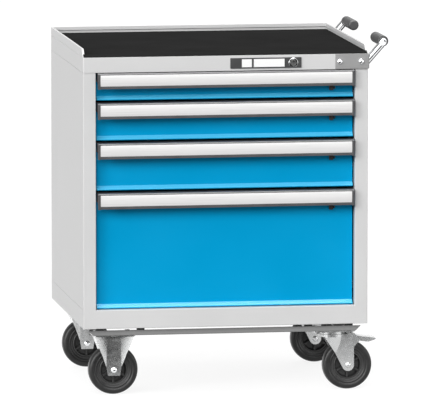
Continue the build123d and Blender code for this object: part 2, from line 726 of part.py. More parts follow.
for place, caster_y in zip(("front", "rear"), CASTER_YS):
    with BuildPart() as skirt:
        with BuildSketch(across(CASTER_X)) as skirt_wall:
            with BuildLine():
                Polyline(
                    (caster_y + HEAD_RADIUS + 1, CROWN_TOP),
                    (caster_y + SKIRT_FOOT_RADIUS + 1, SKIRT_FOOT_Z),
                    (caster_y + SKIRT_FOOT_RADIUS - LEG_SHEET, SKIRT_FOOT_Z),
                    (caster_y + HEAD_RADIUS - LEG_SHEET, CROWN_LOW),
                    (caster_y + HEAD_RADIUS - LEG_SHEET, CROWN_TOP),
                    close=True,
                )
            make_face()
        swivel_axis = Axis(origin=(CABINET_X + CASTER_X, FRONT_Y + caster_y, 0), direction=(0, 0, 1))
        revolve(skirt_wall.sketch, axis=swivel_axis)
        extrude(fork_leg_outline(caster_y), amount=2 * HEAD_RADIUS, both=True, mode=Mode.INTERSECT)
        block(
            (CASTER_X - 2 * HEAD_RADIUS, caster_y - LEG_INNER, 0),
            (CASTER_X + 2 * HEAD_RADIUS, caster_y + LEG_INNER, CROWN_LOW),
            mode=Mode.SUBTRACT,
        )
    with BuildPart() as fork:
        extrude(fork_leg_outline(caster_y), amount=LEG_INNER + LEG_SHEET, both=True)
        block(
            (CASTER_X - 100, caster_y - LEG_INNER, 0),
            (CASTER_X + 100, caster_y + LEG_INNER, CASTER_HEIGHT),
            mode=Mode.SUBTRACT,
        )
        add(skirt.part)
        extrude(disc(level(CROWN_LOW), (CASTER_X, caster_y), HEAD_RADIUS + 1), amount=CROWN_TOP - CROWN_LOW)
        pin_bore = disc(level(CROWN_LOW), (CASTER_X, caster_y), PIN_RADIUS + FIT)
        extrude(pin_bore, amount=CROWN_TOP - CROWN_LOW, mode=Mode.SUBTRACT)
        axle_bore = disc(upright(caster_y), (CASTER_X + TRAIL, WHEEL_RADIUS), AXLE_RADIUS + FIT)
        extrude(axle_bore, amount=2 * LEG_INNER, both=True, mode=Mode.SUBTRACT)
        pivot_spot = (CASTER_X + PEDAL_PIVOT[0], PEDAL_PIVOT[1])
        pivot_bore = disc(upright(caster_y), pivot_spot, PIVOT_RADIUS + FIT)
        extrude(pivot_bore, amount=2 * LEG_INNER, both=True, mode=Mode.SUBTRACT)
    with BuildPart() as fork_with_axle:
        add(fork.part)
        axle_bolt(CASTER_X + TRAIL, caster_y)
    save(fork_with_axle, f"swivel_fork_{place}")

    with BuildPart() as brake_pedal:
        extrude(beside_swivel(caster_y, PEDAL_OUTLINE), amount=PEDAL_HALF, both=True)
        hollow_half = PEDAL_HALF - PEDAL_SHEET
        hollow = beside_swivel(caster_y, PEDAL_HOLLOW)
        extrude(hollow, amount=hollow_half, both=True, mode=Mode.SUBTRACT)
        pivot = disc(upright(caster_y), pivot_spot, PIVOT_RADIUS)
        extrude(pivot, amount=LEG_INNER + LEG_SHEET + PIVOT_PROUD, both=True)
        extrude(beside_swivel(caster_y, SHOE_OUTLINE), amount=SHOE_HALF, both=True)
    save(brake_pedal, f"brake_pedal_{place}")

# ---- wheels ----------------------------------------------------------------------------------
RIM_RADIUS = 40.0
RIM_HALF = 15.0
HUB_RADIUS = 13.5
HUB_HALF = LEG_INNER - 0.5
RIM_LIP = 31.0
TREAD_EDGE = 7.0  # height of the tyre's rounded shoulder
WEB_THICKNESS = 8.0
SPOKES = 6
SPOKE_MIDDLE = 22.0  # radius of a spoke's middle
SPOKE_LENGTH = 22.0
SPOKE_WIDTH = 4.0
SPOKE_HALF_DEPTH = 11.0
wheel_places = {
    "front_left": (-CASTER_X, CASTER_YS[0]),
    "rear_left": (-CASTER_X, CASTER_YS[1]),
    "front_right": (CASTER_X + TRAIL, CASTER_YS[0]),
    "rear_right": (CASTER_X + TRAIL, CASTER_YS[1]),
}


def wheel_section(x, y, corners):
    """Half section of a wheel piece: each corner is a distance along the axle and a radius."""
    return polygon(across(x), *[(y + along, WHEEL_RADIUS + radius) for along, radius in corners])


for place, (x, y) in wheel_places.items():
    axle_line = Axis(origin=(CABINET_X + x, FRONT_Y + y, WHEEL_RADIUS), direction=(0, 1, 0))
    tread_half = WHEEL_WIDTH / 2
    with BuildPart() as tyre:
        tyre_corners = (
            (-RIM_HALF, RIM_RADIUS),
            (-RIM_HALF - 1.5, RIM_RADIUS + 4),
            (1 - tread_half, RIM_RADIUS + 6),
            (-tread_half, WHEEL_RADIUS - TREAD_EDGE),
            (4 - tread_half, WHEEL_RADIUS - 1.6),
            (9 - tread_half, WHEEL_RADIUS),
            (tread_half - 9, WHEEL_RADIUS),
            (tread_half - 4, WHEEL_RADIUS - 1.6),
            (tread_half, WHEEL_RADIUS - TREAD_EDGE),
            (tread_half - 1, RIM_RADIUS + 6),
            (RIM_HALF + 1.5, RIM_RADIUS + 4),
            (RIM_HALF, RIM_RADIUS),
        )
        revolve(wheel_section(x, y, tyre_corners), axis=axle_line)
    save(tyre, f"tyre_{place}")

    with BuildPart() as rim:
        rim_corners = (
            (-HUB_HALF, AXLE_RADIUS + FIT),
            (-HUB_HALF, HUB_RADIUS - 1),
            (-WEB_THICKNESS / 2, HUB_RADIUS),
            (-WEB_THICKNESS / 2, RIM_LIP),
            (-RIM_HALF + 2, RIM_LIP + 1),
            (-RIM_HALF, RIM_RADIUS),
            (RIM_HALF, RIM_RADIUS),
            (RIM_HALF - 2, RIM_LIP + 1),
            (WEB_THICKNESS / 2, RIM_LIP),
            (WEB_THICKNESS / 2, HUB_RADIUS),
            (HUB_HALF, HUB_RADIUS - 1),
            (HUB_HALF, AXLE_RADIUS + FIT),
        )
        revolve(wheel_section(x, y, rim_corners), axis=axle_line)
        with BuildSketch(upright(y)) as spokes:
            with Locations((x, WHEEL_RADIUS)):
                with PolarLocations(SPOKE_MIDDLE, SPOKES, start_angle=30):
                    Rectangle(SPOKE_LENGTH, SPOKE_WIDTH)
        extrude(spokes.sketch, amount=SPOKE_HALF_DEPTH, both=True)
    save(rim, f"rim_{place}")

# ---- drawer runners in the body ---------------------------------------------------------------
RUNNER_FRONT = 30.0
RUNNER_LENGTH = 540.0
FIXED_OUT = 328.5  # outer face of the fixed channel
FIXED_IN = 313.0
FIXED_HALF = 20.0  # half the fixed channel's height
BRACKET_DEPTHS = (60.0, 490.0)
BRACKET_HALF = 18.0
BRACKET_FOOT = 30.0
HANGER_SHEET = 2.0
MIDDLE_WEB = (319.25, 320.75)
MIDDLE_FLANGES = (310.5, 325.5)
MIDDLE_HALF = 15.5
SLIDE_HALF = 11.5  # drawer's channel: half its height, and its width

with BuildPart() as cabinet_runners:
    for bottom in drawer_bottoms:
        z = bottom + RUNNER_RISE
        channel = folded(
            upright(RUNNER_FRONT),
            (FIXED_IN, z + FIXED_HALF),
            (FIXED_OUT, z + FIXED_HALF),
            (FIXED_OUT, z - FIXED_HALF),
            (FIXED_IN, z - FIXED_HALF),
            side=Side.RIGHT,
        )
        extrude(channel, amount=-RUNNER_LENGTH)
        low, high = z - BRACKET_HALF, z + BRACKET_HALF
        wall = HALF - SHEET
        for depth in BRACKET_DEPTHS:
            block((FIXED_OUT, depth, low), (wall, depth + HANGER_SHEET, high))
            block((wall - HANGER_SHEET, depth, low), (wall, depth + BRACKET_FOOT, high))
    mirror(about=across(0))
save(cabinet_runners, "cabinet_runners")

# ---- drawers ---------------------------------------------------------------------------------
FRONT_HALF = OPENING_HALF - 3.5
FRONT_PAN = 4.0  # depth of a front's folded edges
LIP_RISE = 12.8
LIP_REACH = 8.0
LIP_EDGE = 2.8
HANDLE_HALF = 322.5
CAP_WIDTH = 6.0
FINGER_WALL = 3.0
STRIP_HIGH = 6.0  # light strip's edges below the top of its module
STRIP_LOW = 37.0
FACE_HIGH = 12.5  # pull's face in front of the front frame, at the strip's edges
FACE_LOW = 12.5 + 31.0 / 36
STRIP_LEAN = 0.9
BOX_HALF = 306.0
BOX_FRONT = FRONT_RECESS + FRONT_PAN
BOX_DEPTH = 555.0
BOX_SHEET = 1.5
BOX_HEM = 6.0
TRAY_RISE = 14.0  # tray's bottom above the bottom of its module
TRAY_DROP = 16.0  # tray's rim below the top of its module
FRONT_DROP = 5.0  # front's top edge below the top of its module
LIP_RETURN = 5.0
CATCH_X = 268.5
CATCH_DROP = 50.5
CATCH_TRAVEL = 7.0
SLOT_HALF = 4.0


def drawer_box(tray, top, bottom):
    """Open tray with inward hems, and the channel that is bolted to each side of it."""
    low, high = bottom + TRAY_RISE, top - TRAY_DROP
    back = BOX_FRONT + BOX_DEPTH
    block((-BOX_HALF, BOX_FRONT, low), (BOX_HALF, back, high))
    fillet(tray.edges().filter_by(Axis.Z), 1.4)
    block(
        (BOX_SHEET - BOX_HALF, BOX_FRONT + BOX_SHEET, low + BOX_SHEET),
        (BOX_HALF - BOX_SHEET, back - BOX_SHEET, high - BOX_SHEET),
        mode=Mode.SUBTRACT,
    )
    block(
        (BOX_SHEET + BOX_HEM - BOX_HALF, BOX_FRONT + BOX_SHEET + BOX_HEM, high - BOX_SHEET),
        (BOX_HALF - BOX_SHEET - BOX_HEM, back - BOX_SHEET - BOX_HEM, high),
        mode=Mode.SUBTRACT,
    )
    z = bottom + RUNNER_RISE
    for sign, side in ((-1, Side.RIGHT), (1, Side.LEFT)):
        channel = folded(
            upright(RUNNER_FRONT),
            (sign * (BOX_HALF + SLIDE_HALF), z + SLIDE_HALF),
            (sign * BOX_HALF, z + SLIDE_HALF),
            (sign * BOX_HALF, z - SLIDE_HALF),
            (sign * (BOX_HALF + SLIDE_HALF), z - SLIDE_HALF),
            side=side,
        )
        extrude(channel, amount=-RUNNER_LENGTH)


def drawer_front(top, bottom):
    """Folded front with a flared lip, side returns and the catch's slot."""
    high = top - FRONT_DROP
    lip_top = bottom + LIP_RISE
    lip_low = lip_top - LIP_REACH
    lip_front = FRONT_RECESS - LIP_REACH
    skin = folded(
        across(-FRONT_HALF),
        (BOX_FRONT, high),
        (FRONT_RECESS, high),
        (FRONT_RECESS, lip_top),
        (lip_front, lip_low),
        (lip_front, lip_low - LIP_EDGE),
        (lip_front + LIP_RETURN, lip_low - LIP_EDGE),
        sheet=FRONT_SHEET,
        bend=1.5,
    )
    extrude(skin, amount=2 * FRONT_HALF)
    for low_x, high_x in ((-FRONT_HALF, FRONT_SHEET - FRONT_HALF), (FRONT_HALF - FRONT_SHEET, FRONT_HALF)):
        block((low_x, FRONT_RECESS, lip_top + 1), (high_x, BOX_FRONT, high))
    catch_z = top - CATCH_DROP
    block(
        (CATCH_X - SLOT_HALF, FRONT_RECESS - 1, catch_z - 3),
        (CATCH_X + SLOT_HALF + CATCH_TRAVEL, FRONT_RECESS + 2, catch_z + 3),
        mode=Mode.SUBTRACT,
    )


def drawer_handle(top):
    """Full-width pull: a top plate, a finger wall, a fixing flange and two end caps."""
    profile = polygon(
        across(CAP_WIDTH - HANDLE_HALF),
        (FRONT_RECESS, top - 3.5),
        (-10.5, top - 3.5),
        (-FACE_HIGH, top - STRIP_HIGH),
        (-13.5, top - 42),
        (FINGER_WALL - 13.5, top - 42),
        (FINGER_WALL - 12.5, top - 9),
        (-8, top - 6.5),
        (FRONT_RECESS - 2.5, top - 6.5),
        (FRONT_RECESS - 2.5, top - 22),
        (FRONT_RECESS, top - 22),
    )
    extrude(profile, amount=2 * (HANDLE_HALF - CAP_WIDTH))
    for inner in (-HANDLE_HALF, HANDLE_HALF - CAP_WIDTH):
        cap = polygon(
            across(inner),
            (FRONT_RECESS, top - 3),
            (-11, top - 3),
            (-13.8, top - 5.5),
            (-14.5, top - 43),
            (-7, top - 43),
            (-3, top - 26),
            (FRONT_RECESS, top - 26),
        )
        extrude(cap, amount=CAP_WIDTH)


def handle_strip(top):
    """Light insert along the pull's face."""
    insert = polygon(
        across(CAP_WIDTH - HANDLE_HALF),
        (-FACE_HIGH, top - STRIP_HIGH),
        (-FACE_LOW, top - STRIP_LOW),
        (-HANDLE_DEPTH, top - STRIP_LOW),
        (STRIP_LEAN - HANDLE_DEPTH, top - STRIP_HIGH),
    )
    extrude(insert, amount=2 * (HANDLE_HALF - CAP_WIDTH))


def drawer_catch(top):
    """Sliding thumb tab under the pull, with its stem and retaining plate."""
    z = top - CATCH_DROP
    block((CATCH_X - 5, FRONT_RECESS - 9, z - 5.5), (CATCH_X + 5, FRONT_RECESS - 0.3, z + 5.5))
    block((CATCH_X - 3, FRONT_RECESS - 0.3, z - 2), (CATCH_X + 3, FRONT_RECESS + 2, z + 2))
    block((CATCH_X - 10, FRONT_RECESS + 1.6, z - 6), (CATCH_X + 10, FRONT_RECESS + 3.2, z + 6))


for number, (top, bottom) in enumerate(zip(drawer_tops, drawer_bottoms), start=1):
    with BuildPart() as box:
        drawer_box(box, top, bottom)
    save(box, f"drawer_box_{number}")

    with BuildPart() as front:
        drawer_front(top, bottom)
    save(front, f"drawer_front_{number}")

    with BuildPart() as handle:
        drawer_handle(top)
    save(handle, f"drawer_handle_{number}")

    with BuildPart() as strip:
        handle_strip(top)
    save(strip, f"handle_strip_{number}")

    with BuildPart() as catch:
        drawer_catch(top)
    save(catch, f"drawer_catch_{number}")

    with BuildPart() as middle:
        z = bottom + RUNNER_RISE
        back = RUNNER_FRONT + RUNNER_LENGTH
        web_in, web_out = MIDDLE_WEB
        flange_in, flange_out = MIDDLE_FLANGES
        block((web_in, RUNNER_FRONT, z - MIDDLE_HALF), (web_out, back, z + MIDDLE_HALF))
        for flange_z in (z - MIDDLE_HALF, z + MIDDLE_HALF - SHEET):
            block((flange_in, RUNNER_FRONT, flange_z), (flange_out, back, flange_z + SHEET))
        mirror(about=across(0))
    save(middle, f"middle_runners_{number}")
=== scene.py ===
import json
import math

import bmesh
import bpy
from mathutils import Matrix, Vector


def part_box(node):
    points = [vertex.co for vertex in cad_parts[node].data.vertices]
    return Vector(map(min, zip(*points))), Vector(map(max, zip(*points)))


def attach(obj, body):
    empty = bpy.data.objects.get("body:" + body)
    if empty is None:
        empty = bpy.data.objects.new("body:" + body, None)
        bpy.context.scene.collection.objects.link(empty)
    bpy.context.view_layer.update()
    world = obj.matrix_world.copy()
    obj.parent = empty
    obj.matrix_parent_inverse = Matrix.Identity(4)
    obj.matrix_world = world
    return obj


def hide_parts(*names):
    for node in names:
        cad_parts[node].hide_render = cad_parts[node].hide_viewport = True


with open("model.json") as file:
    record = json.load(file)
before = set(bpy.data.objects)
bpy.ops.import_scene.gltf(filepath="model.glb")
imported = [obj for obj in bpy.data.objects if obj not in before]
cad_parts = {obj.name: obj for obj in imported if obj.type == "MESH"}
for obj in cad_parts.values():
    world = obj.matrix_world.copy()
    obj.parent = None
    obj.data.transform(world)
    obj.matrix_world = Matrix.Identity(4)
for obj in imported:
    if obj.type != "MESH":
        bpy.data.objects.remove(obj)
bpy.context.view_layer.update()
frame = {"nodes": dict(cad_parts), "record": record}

MM = 0.001
FORWARD = Vector((0, -1, 0))
UP = Vector((0, 0, 1))
RIGHT = Vector((1, 0, 0))
DRAWERS = (1, 2, 3, 4)
PLACES = ("front", "rear")
WHEELS = ("front_left", "rear_left", "front_right", "rear_right")

# ---- materials ---------------------------------------------------------------------------------


class Finish:
    """A node material built round one Principled shader, in object coordinates (metres)."""

    def __init__(self, name, roughness, metallic=0.0, specular=0.5):
        self.material = bpy.data.materials.new(name)
        self.material.use_nodes = True
        self.tree = self.material.node_tree
        self.shader = self.tree.nodes["Principled BSDF"]
        self.shader.inputs["Roughness"].default_value = roughness
        self.shader.inputs["Metallic"].default_value = metallic
        self.shader.inputs["Specular IOR Level"].default_value = specular
        self.place = self.tree.nodes.new("ShaderNodeTexCoord").outputs["Object"]

    def add(self, kind, **settings):
        node = self.tree.nodes.new(kind)
        for key, value in settings.items():
            if key in node.inputs:
                node.inputs[key].default_value = value
            else:
                setattr(node, key, value)
        return node

    def link(self, output, target):
        self.tree.links.new(output, target)

    def stretched(self, scale):
        """Object coordinates stretched by a vector."""
        mapping = self.add("ShaderNodeMapping")
        mapping.inputs["Scale"].default_value = scale
        self.link(self.place, mapping.inputs["Vector"])
        return mapping.outputs["Vector"]

    def noise(self, size, detail=3.0, stretch=None):
        """Noise whose features are about size metres across."""
        node = self.add("ShaderNodeTexNoise", Scale=1.0 / size, Detail=detail)
        self.link(self.stretched(stretch) if stretch else self.place, node.inputs["Vector"])
        return node.outputs["Fac"]

    def span(self, value, low, high, start=0.3, end=0.7):
        """Maps a value's range to a new one."""
        node = self.add("ShaderNodeMapRange")
        ends = {"From Min": start, "From Max": end, "To Min": low, "To Max": high}
        for key, number in ends.items():
            node.inputs[key].default_value = number
        self.link(value, node.inputs["Value"])
        return node.outputs["Result"]

    def colours(self, factor, first, second):
        """Base colour that runs between two colours."""
        mix = self.add("ShaderNodeMix", data_type="RGBA")
        mix.inputs["A"].default_value = (*first, 1)
        mix.inputs["B"].default_value = (*second, 1)
        self.link(factor, mix.inputs["Factor"])
        self.link(mix.outputs["Result"], self.shader.inputs["Base Color"])
        return mix

    def rough(self, factor, low, high):
        self.link(self.span(factor, low, high), self.shader.inputs["Roughness"])

    def bump(self, *layers):
        """Stacks bumps: each layer is a height and its depth in metres."""
        normal = None
        for height, depth in layers:
            node = self.add("ShaderNodeBump", Strength=1.0, Distance=depth)
            self.link(height, node.inputs["Height"])
            if normal is not None:
                self.link(normal, node.inputs["Normal"])
            normal = node.outputs["Normal"]
        self.link(normal, self.shader.inputs["Normal"])


def shade(colour, factor):
    return tuple(min(1.0, part * factor) for part in colour)


def powder_coat(name, colour, roughness=0.42, peel=0.000012, specular=0.35):
    """Powder-coated sheet: fine orange peel, with a faint cloudiness in colour and gloss."""
    finish = Finish(name, roughness, specular=specular)
    cloud = finish.noise(0.16, 2.0)
    finish.colours(finish.span(cloud, 0, 1), shade(colour, 0.975), shade(colour, 1.015))
    grain = finish.noise(0.0016, 2.0)
    finish.rough(cloud, roughness - 0.04, roughness + 0.05)
    finish.bump((grain, peel), (finish.noise(0.02, 1.0), peel * 2))
    return finish.material


def zinc_plate(name, colour=(0.56, 0.565, 0.565), roughness=0.25):
    """Zinc-plated pressed steel: soft spangle, rolling grain and small scuffs."""
    finish = Finish(name, roughness, metallic=1.0)
    spangle = finish.add("ShaderNodeTexVoronoi", Scale=420.0)
    finish.link(finish.place, spangle.inputs["Vector"])
    cloud = finish.noise(0.012, 4.0)
    mixed = finish.add("ShaderNodeMath", operation="MULTIPLY")
    finish.link(spangle.outputs["Distance"], mixed.inputs[0])
    finish.link(cloud, mixed.inputs[1])
    finish.colours(finish.span(cloud, 0, 1, 0.3, 0.7), shade(colour, 0.95), shade(colour, 1.03))
    finish.rough(cloud, roughness - 0.02, roughness + 0.04)
    grain = finish.noise(0.0009, 2.0)
    finish.bump((grain, 0.000005), (mixed.outputs["Value"], 0.000012))
    return finish.material


def chrome(name, colour=(0.86, 0.87, 0.88), roughness=0.07):
    """Bright chrome with the faintest handling marks."""
    finish = Finish(name, roughness, metallic=1.0)
    haze = finish.noise(0.018, 4.0)
    finish.colours(finish.span(haze, 0, 1), shade(colour, 0.97), shade(colour, 1.02))
    finish.rough(haze, roughness * 0.6, roughness * 1.7)
    finish.bump((finish.noise(0.004, 1.0), 0.000004))
    return finish.material


def moulded(name, colour, roughness, grain_size, grain_depth, variation=0.06):
    """Moulded plastic or rubber with a spark-eroded grain."""
    finish = Finish(name, roughness, specular=0.45)
    cloud = finish.noise(0.03, 3.0)
    light, dark = shade(colour, 1 + variation), shade(colour, 1 - variation)
    finish.colours(finish.span(cloud, 0, 1), dark, light)
    finish.rough(cloud, roughness - 0.06, roughness + 0.06)
    pebble = finish.add("ShaderNodeTexVoronoi", Scale=1.0 / grain_size)
    finish.link(finish.place, pebble.inputs["Vector"])
    fine = finish.noise(grain_size * 0.6, 2.0)
    finish.bump((pebble.outputs["Distance"], grain_depth), (fine, grain_depth * 0.4))
    return finish.material


def mat_rubber(name):
    """Black top mat: fine pebbled rubber with faint pale dust in the grain."""
    finish = Finish(name, 0.85, specular=0.0)
    finish.shader.inputs["IOR"].default_value = 1.0
    cloud = finish.noise(0.09, 4.0)
    finish.colours(finish.span(cloud, 0, 1), (0.0225, 0.0225, 0.0225), (0.0265, 0.0265, 0.0265))
    finish.rough(cloud, 0.8, 0.92)
    pebble = finish.add("ShaderNodeTexVoronoi", Scale=620.0)
    finish.link(finish.place, pebble.inputs["Vector"])
    finish.bump((pebble.outputs["Distance"], 0.00012), (finish.noise(0.0006, 2.0), 0.00004))
    return finish.material


def tyre_rubber(name):
    """Solid rubber tyre: fine grain and a trace of floor dust."""
    finish = Finish(name, 0.34, specular=0.3)
    dust = finish.noise(0.02, 5.0)
    finish.colours(finish.span(dust, 0, 1, 0.35, 0.75), (0.012, 0.012, 0.012), (0.018, 0.018, 0.018))
    finish.rough(dust, 0.28, 0.42)
    finish.bump((finish.noise(0.0012, 3.0), 0.00005), (finish.noise(0.006, 2.0), 0.00008))
    return finish.material


def card(name):
    """Plain label card behind a clear film."""
    finish = Finish(name, 0.35)
    fibre = finish.noise(0.0012, 4.0, (1.0, 1.0, 3.0))
    finish.colours(finish.span(fibre, 0, 1), (0.86, 0.86, 0.85), (0.93, 0.93, 0.925))
    finish.bump((fibre, 0.00001))
    finish.shader.inputs["Coat Weight"].default_value = 0.6
    finish.shader.inputs["Coat Roughness"].default_value = 0.12
    return finish.material


def silver_insert(name):
    """Light satin strip of the pulls, with long fine drawing lines."""
    finish = Finish(name, 0.3, specular=0.5)
    streak = finish.noise(0.002, 3.0, (0.02, 1.0, 1.0))
    finish.colours(finish.span(streak, 0, 1), (0.69, 0.685, 0.683), (0.725, 0.72, 0.718))
    finish.rough(streak, 0.25, 0.36)
    finish.bump((streak, 0.00001))
    finish.shader.inputs["Coat Weight"].default_value = 0.5
    finish.shader.inputs["Coat Roughness"].default_value = 0.08
    return finish.material


LOOKS = {
    "body_paint": powder_coat("body_paint_look", (0.60, 0.60, 0.60), specular=0.2),
    "front_paint": powder_coat("front_paint_look", (0.0, 0.31, 0.60), 0.2, specular=0.08),
    "drawer_steel": powder_coat("drawer_steel_look", (0.62, 0.63, 0.64), 0.46),
    "bracket_paint": powder_coat("bracket_paint_look", (0.285, 0.285, 0.285), 0.4, 0.00002),
    "chassis_paint": powder_coat("chassis_paint_look", (0.235, 0.235, 0.235), 0.4, 0.00002),
    "mat_rubber": mat_rubber("mat_rubber_look"),
    "pad_rubber": moulded("pad_rubber_look", (0.035, 0.035, 0.035), 0.6, 0.0015, 0.00004),
    "black_plastic": moulded("black_plastic_look", (0.035, 0.035, 0.036), 0.42, 0.0008, 0.00001),
    "label_card": card("label_card_look"),
    "chrome_parts": chrome("chrome_look"),
    "lock_metal": chrome("lock_metal_look", (0.2, 0.2, 0.2), 0.3),
    "zinc_parts": zinc_plate("zinc_look"),
    "grip_plastic": moulded("grip_look", (0.035, 0.035, 0.036), 0.5, 0.0011, 0.0001),
    "handle_plastic": moulded("handle_plastic_look", (0.06, 0.06, 0.063), 0.38, 0.0009, 0.000012),
    "handle_insert": silver_insert("handle_insert_look"),
    "catch_plastic": moulded("catch_look", (0.012, 0.01, 0.01), 0.4, 0.0008, 0.00001),
    "tyre_rubber": tyre_rubber("tyre_look"),
    "rim_plastic": moulded("rim_plastic_look", (0.016, 0.016, 0.016), 0.42, 0.0014, 0.00003),
}
SLOT_OF = {part["node"]: part["material_slot"] for part in frame["record"]["subparts"]}
NODES_OF = frame["record"]["behaviour"]["bodies"]
BODY_OF = {node: body for body, nodes in NODES_OF.items() for node in nodes}


def dress(obj, slot_name):
    """Gives a piece the look of one of the record's slots."""
    obj.data.materials.clear()
    obj.data.materials.append(LOOKS[slot_name])


for node_name, node_object in frame["nodes"].items():
    dress(node_object, SLOT_OF[node_name])

# ---- mesh helpers ------------------------------------------------------------------------------


def piece(name, bm, body, slot_name, replaced=(), smooth_angle=35.0):
    """Turns a bmesh into a finished piece that rides on a body."""
    bmesh.ops.recalc_face_normals(bm, faces=bm.faces)
    limit = math.radians(smooth_angle)
    for face in bm.faces:
        face.smooth = True
    for edge in bm.edges:
        edge.smooth = len(edge.link_faces) == 2 and edge.calc_face_angle(0.0) < limit
    mesh = bpy.data.meshes.new(name)
    bm.to_mesh(mesh)
    bm.free()
    obj = bpy.data.objects.new(name, mesh)
    bpy.context.scene.collection.objects.link(obj)
    dress(obj, slot_name)
    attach(obj, body)
    if replaced:
        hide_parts(*replaced)
    return obj


MERGE_DISTANCE = 2e-6
FLAT_WITHIN = math.radians(0.6)
SHARP_OVER = math.radians(28.0)
SHORTEST_ROLLED = 2.0 * MM


def rolled(node, width=0.4, segments=2):
    """The sheet-metal or moulded shape of a CAD node, with its long sharp edges rolled over."""
    bm = bmesh.new()
    bm.from_mesh(frame["nodes"][node].data)
    bmesh.ops.remove_doubles(bm, verts=bm.verts, dist=MERGE_DISTANCE)
    bmesh.ops.dissolve_limit(bm, angle_limit=FLAT_WITHIN, verts=bm.verts, edges=bm.edges)
    sharp = [
        edge
        for edge in bm.edges
        if len(edge.link_faces) == 2
        and edge.calc_face_angle(0.0) > SHARP_OVER
        and edge.calc_length() > SHORTEST_ROLLED
    ]
    bmesh.ops.bevel(
        bm,
        geom=sharp,
        offset=width * MM,
        offset_type="OFFSET",
        segments=segments,
        profile=0.5,
        affect="EDGES",
        clamp_overlap=True,
        harden_normals=False,
    )
    shape = piece(f"{node}.rolled", bm, BODY_OF[node], SLOT_OF[node], (node,), 32.0)
    even = shape.modifiers.new("even_faces", "WEIGHTED_NORMAL")
    even.keep_sharp = True
    even.weight = 100
    return shape


def basis(direction):
    """Two unit vectors square to a direction."""
    w = direction.normalized()
    u = w.orthogonal().normalized()
    return u, w.cross(u).normalized(), w


def lathe(bm, profile, origin, direction, steps=96):
    """Turns a profile of (along, radius) in mm about an axis. Radius 0 closes it on the axis."""
    u, v, w = basis(direction)
    rings = []
    for along, radius in profile:
        centre = origin + w * along * MM
        if radius <= 0:
            rings.append([bm.verts.new(centre)])
            continue
        ring = []
        for i in range(steps):
            turn = 2 * math.pi * i / steps
            out = u * math.cos(turn) + v * math.sin(turn)
            ring.append(bm.verts.new(centre + out * radius * MM))
        rings.append(ring)
    closed = profile[0] == profile[-1]
    if closed:
        for vert in rings[-1]:
            bm.verts.remove(vert)
        rings[-1] = rings[0]
    for first, second in zip(rings, rings[1:]):
        for i in range(steps):
            j = (i + 1) % steps
            if len(first) == 1:
                bm.faces.new((first[0], second[j], second[i]))
            elif len(second) == 1:
                bm.faces.new((first[i], first[j], second[0]))
            else:
                bm.faces.new((first[i], first[j], second[j], second[i]))


def prism(bm, outline, origin, across_dir, up_dir, depth_dir, depth, edge=0.0):
    """Plate with the given outline (mm), its rim edges chamfered by edge."""
    def ring(inset, along):
        loop = []
        n = len(outline)
        for i, (x, y) in enumerate(outline):
            if inset:
                px, py = outline[i - 1]
                nx, ny = outline[(i + 1) % n]
                a = Vector((x - px, y - py)).normalized()
                b = Vector((nx - x, ny - y)).normalized()
                normal = Vector((-(a.y + b.y), a.x + b.x))
                if normal.length > 1e-6:
                    normal.normalize()
                    scale = inset / max(0.3, normal.dot(Vector((-a.y, a.x))))
                    x, y = x + normal.x * scale, y + normal.y * scale
            point = across_dir * x + up_dir * y + depth_dir * along
            loop.append(bm.verts.new(origin + point * MM))
        return loop

    levels = [(0.0, 0.0), (0.0, depth)]
    if edge:
        levels = [(edge, 0.0), (0.0, edge), (0.0, depth - edge), (edge, depth)]
    rings = [ring(inset, along) for inset, along in levels]
    for first, second in zip(rings, rings[1:]):
        for i in range(len(outline)):
            j = (i + 1) % len(outline)
            bm.faces.new((first[i], first[j], second[j], second[i]))
    bm.faces.new(list(reversed(rings[0])))
    bm.faces.new(rings[-1])


def middle(node):
    low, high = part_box(node)
    return (low + high) / 2


# ---- body, top and chassis: CAD shapes with rolled edges -----------------------------------------
for sheet_node in ("front_frame", "side_panel_left", "side_panel_right", "plinth_tray", "back_panel"):
    rolled(sheet_node, 0.35)
rolled("top_cover", 0.5, 3)
rolled("edge_border", 0.5, 3)
rolled("rubber_mat", 0.4)
rolled("lock_plate", 0.5, 3)
rolled("label_cards", 0.15)
rolled("handle_brackets", 0.6, 3)
rolled("chassis_rails", 0.5)
rolled("spacer_pads", 0.8, 3)
rolled("fixed_forks", 0.5, 3)
rolled("swivel_plates", 0.4)
rolled("cabinet_runners", 0.2)
rolled("locking_bar", 0.3)
for number in DRAWERS:
    rolled(f"drawer_box_{number}", 0.3)
    rolled(f"drawer_front_{number}", 0.3)
    rolled(f"drawer_handle_{number}", 0.6, 3)
    rolled(f"drawer_catch_{number}", 0.6, 3)
    rolled(f"middle_runners_{number}", 0.2)
for place in PLACES:
    rolled(f"swivel_fork_{place}", 0.5, 3)
    rolled(f"brake_pedal_{place}", 0.5, 3)

# ---- flared lips of the drawer fronts: a paler blue on their up-facing faces, a painted highlight of the light from above ---
LIP_HEIGHT = 13.5 * MM
FACES_UP = 0.2  # least upward and forward tilt of a lip's faces
# painted highlight: a lighter, glossier blue that stands in for overhead light catching the lip's bend
lip_painted_highlight_look = powder_coat("front_paint_lip_painted_highlight_look", (0.07, 0.50, 0.80), 0.22, specular=0.25)
for number in DRAWERS:
    front_piece = bpy.data.objects[f"drawer_front_{number}.rolled"]
    front_piece.data.materials.append(lip_painted_highlight_look)
    lip_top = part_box(f"drawer_front_{number}")[0].z + LIP_HEIGHT
    for polygon in front_piece.data.polygons:
        tilt = polygon.normal
        # the lip faces that tilt up and forward take the painted highlight
        if polygon.center.z < lip_top and tilt.z > FACES_UP and tilt.y < -FACES_UP:
            polygon.material_index = 1

